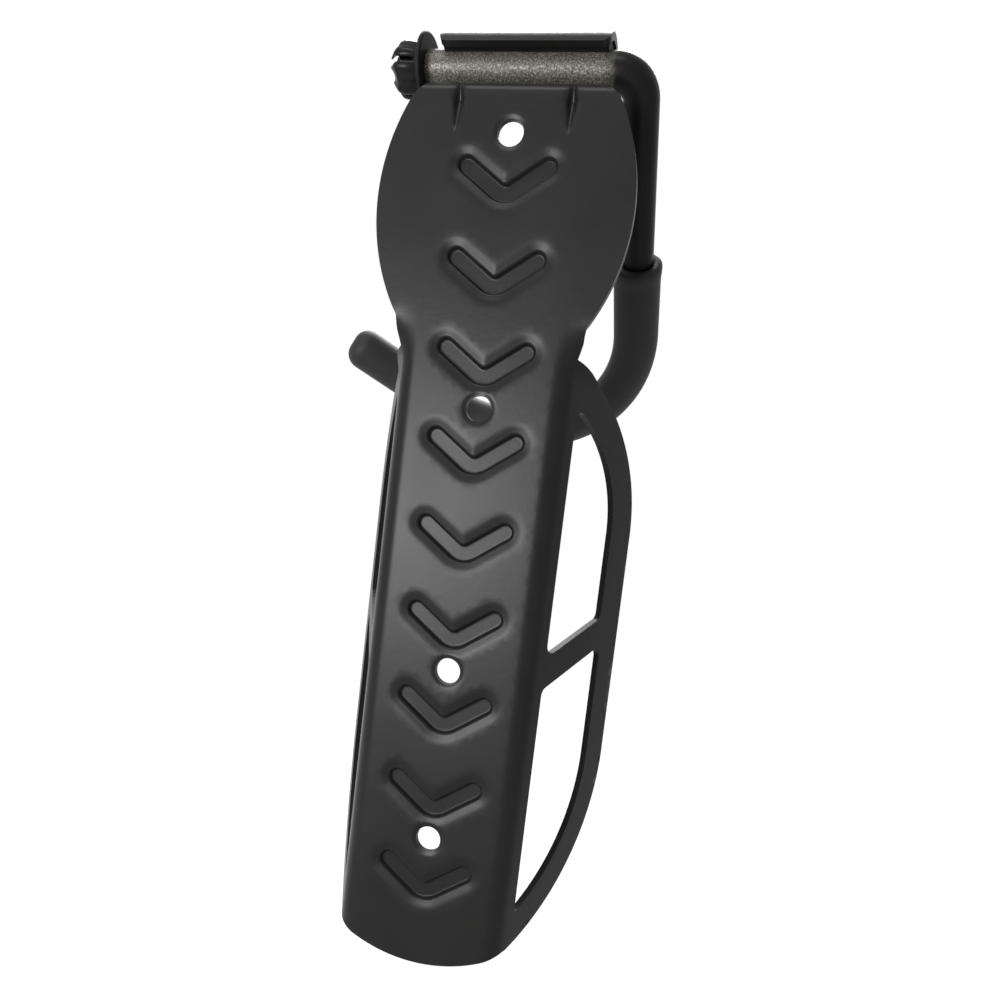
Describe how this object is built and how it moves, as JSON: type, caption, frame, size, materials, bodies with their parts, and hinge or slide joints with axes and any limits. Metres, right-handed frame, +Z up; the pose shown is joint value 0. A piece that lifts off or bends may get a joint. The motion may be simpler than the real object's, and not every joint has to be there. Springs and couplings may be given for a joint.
{
  "type": "bicycle wall rack",
  "caption": "Wall rack for hanging a bicycle by one wheel: a pressed steel back plate with windowed wings and a foam-covered hook that swings in a rolled curl.",
  "frame": {"origin": "centre of the top screw hole, on the face that lies against the wall", "axes": "+Z up, +Y towards the wall, -Y towards the bicycle, +X towards the retainer's end of the hinge"},
  "size_m": [0.1623, 0.152, 0.3437],
  "materials": {
    "powder_coat": "fine-grained semi-matt black powder coat",
    "liner": "smooth black plastic",
    "rod_steel": "satin black coat, worn through to warm grey metal at the hinge",
    "foam": "matt black soft sleeve",
    "washer": "satin black coat",
    "retainer": "glossy black plastic"
  },
  "bodies": {
    "plate": {"back_plate": "powder_coat", "pivot_bush": "liner"},
    "hook": {"hook_rod": "rod_steel", "grip_sleeve": "foam", "retaining_washer": "washer", "end_retainer": "retainer"}
  },
  "joints": [
    {"name": "hook_swing", "type": "hinge", "parent": "plate", "child": "hook", "pos_m": [0, -0.0125, 0.0275], "axis": [-1, 0, 0], "range_deg": [-31, 131]}
  ]
}
